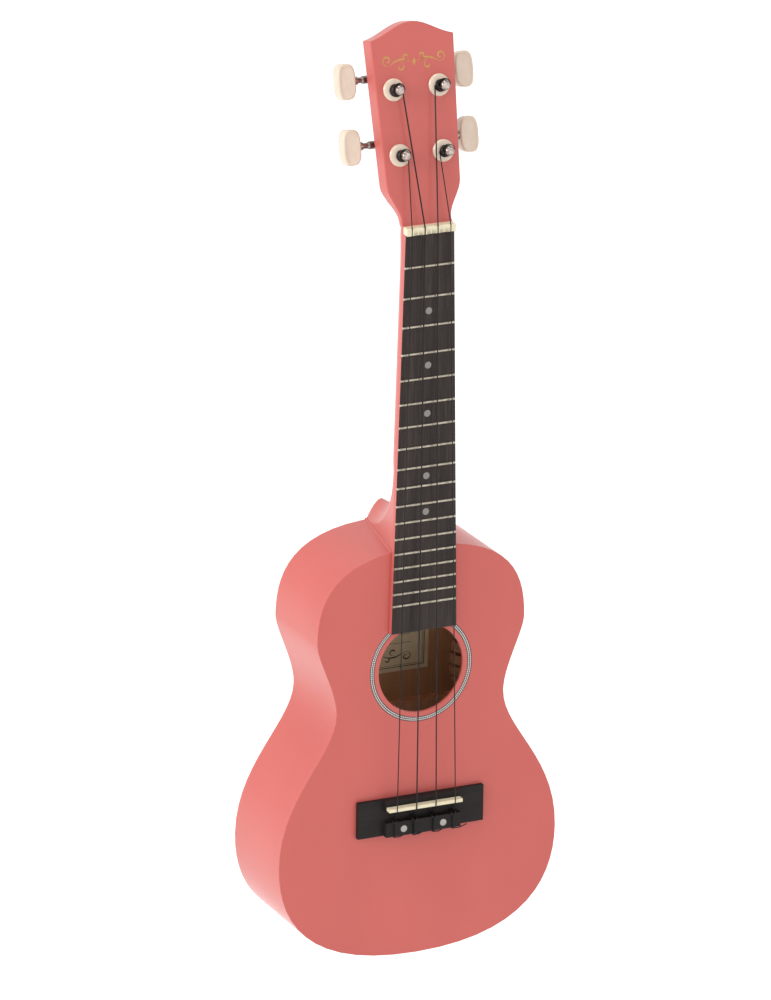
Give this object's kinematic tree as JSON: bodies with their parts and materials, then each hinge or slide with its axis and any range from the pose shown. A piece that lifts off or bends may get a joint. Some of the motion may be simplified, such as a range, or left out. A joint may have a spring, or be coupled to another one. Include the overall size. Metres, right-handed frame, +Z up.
{
  "type": "ukulele",
  "caption": "Concert ukulele with a painted body, flat tilted back, dark fretboard and bridge, four nylon strings and four open-geared tuners that turn.",
  "frame": {"origin": "on the centreline where the nut meets the fretboard, in the plane of the soundboard's face", "axes": "+Z up the neck to the headstock, -Y out of the soundboard towards the player's audience, +X to the treble side; the instrument stands upright"},
  "size_m": [0.1974, 0.0837, 0.6166],
  "materials": {
    "coral_paint": "satin coral pink paint over wood",
    "inside_wood": "bare wood",
    "fretboard_wood": "dark open-grained wood, oiled",
    "bridge_wood": "dark open-grained wood, oiled",
    "bone": "polished bone-coloured plastic",
    "ivory_plastic": "moulded ivory-coloured plastic",
    "nickel": "nickel plated steel",
    "brass": "cut brass",
    "pearl": "pearl-coloured plastic",
    "rosette_inlay": "black, white and grey rope inlay",
    "nylon_string": "black nylon",
    "paper": "aged paper"
  },
  "bodies": {
    "ukulele": {"soundboard": "coral_paint", "back_plate": "coral_paint", "side_bass": "coral_paint", "side_treble": "coral_paint", "neck_block": "inside_wood", "tail_block": "inside_wood", "soundboard_linings": "inside_wood", "back_linings": "inside_wood", "soundboard_braces": "inside_wood", "back_braces": "inside_wood", "bridge_plate": "inside_wood", "label": "paper", "rosette": "rosette_inlay", "neck": "coral_paint", "neck_dowels": "inside_wood", "fretboard": "fretboard_wood", "frets": "nickel", "fret_dots": "pearl", "nut": "bone", "bridge": "bridge_wood", "saddle": "bone", "bridge_screws": "nickel", "bridge_dots": "pearl", "tuner_bushings": "ivory_plastic", "plate_screws": "nickel", "string_g": "nylon_string", "string_c": "nylon_string", "string_e": "nylon_string", "string_a": "nylon_string", "tuner_plate_g": "nickel", "tuner_plate_c": "nickel", "tuner_plate_e": "nickel", "tuner_plate_a": "nickel"},
    "worm_g": {"worm_g": "nickel", "button_g": "ivory_plastic"},
    "post_g": {"post_g": "nickel", "gear_g": "brass", "gear_screw_g": "nickel", "winding_g": "nylon_string"},
    "worm_c": {"worm_c": "nickel", "button_c": "ivory_plastic"},
    "post_c": {"post_c": "nickel", "gear_c": "brass", "gear_screw_c": "nickel", "winding_c": "nylon_string"},
    "worm_e": {"worm_e": "nickel", "button_e": "ivory_plastic"},
    "post_e": {"post_e": "nickel", "gear_e": "brass", "gear_screw_e": "nickel", "winding_e": "nylon_string"},
    "worm_a": {"worm_a": "nickel", "button_a": "ivory_plastic"},
    "post_a": {"post_a": "nickel", "gear_a": "brass", "gear_screw_a": "nickel", "winding_a": "nylon_string"}
  },
  "joints": [
    {"name": "button_turn_g", "type": "hinge", "parent": "ukulele", "child": "worm_g", "pos_m": [-0.015, 0.02949, 0.05127], "axis": [1, 0, 0], "continuous": true},
    {"name": "post_turn_g", "type": "hinge", "parent": "ukulele", "child": "post_g", "pos_m": [-0.015, 0.01088, 0.04829], "axis": [0, -0.9755, 0.2198], "continuous": true},
    {"name": "button_turn_c", "type": "hinge", "parent": "ukulele", "child": "worm_c", "pos_m": [-0.0157, 0.03855, 0.09146], "axis": [1, 0, 0], "continuous": true},
    {"name": "post_turn_c", "type": "hinge", "parent": "ukulele", "child": "post_c", "pos_m": [-0.0157, 0.01994, 0.08848], "axis": [0, -0.9755, 0.2198], "continuous": true},
    {"name": "button_turn_e", "type": "hinge", "parent": "ukulele", "child": "worm_e", "pos_m": [0.0157, 0.03855, 0.09146], "axis": [1, 0, 0], "continuous": true},
    {"name": "post_turn_e", "type": "hinge", "parent": "ukulele", "child": "post_e", "pos_m": [0.0157, 0.01994, 0.08848], "axis": [0, -0.9755, 0.2198], "continuous": true},
    {"name": "button_turn_a", "type": "hinge", "parent": "ukulele", "child": "worm_a", "pos_m": [0.015, 0.02949, 0.05127], "axis": [1, 0, 0], "continuous": true},
    {"name": "post_turn_a", "type": "hinge", "parent": "ukulele", "child": "post_a", "pos_m": [0.015, 0.01088, 0.04829], "axis": [0, -0.9755, 0.2198], "continuous": true}
  ],
  "couplings": [
    {"joint": "post_turn_g", "follows": "button_turn_g", "ratio": 0.071429},
    {"joint": "post_turn_c", "follows": "button_turn_c", "ratio": 0.071429},
    {"joint": "post_turn_e", "follows": "button_turn_e", "ratio": 0.071429},
    {"joint": "post_turn_a", "follows": "button_turn_a", "ratio": 0.071429}
  ]
}
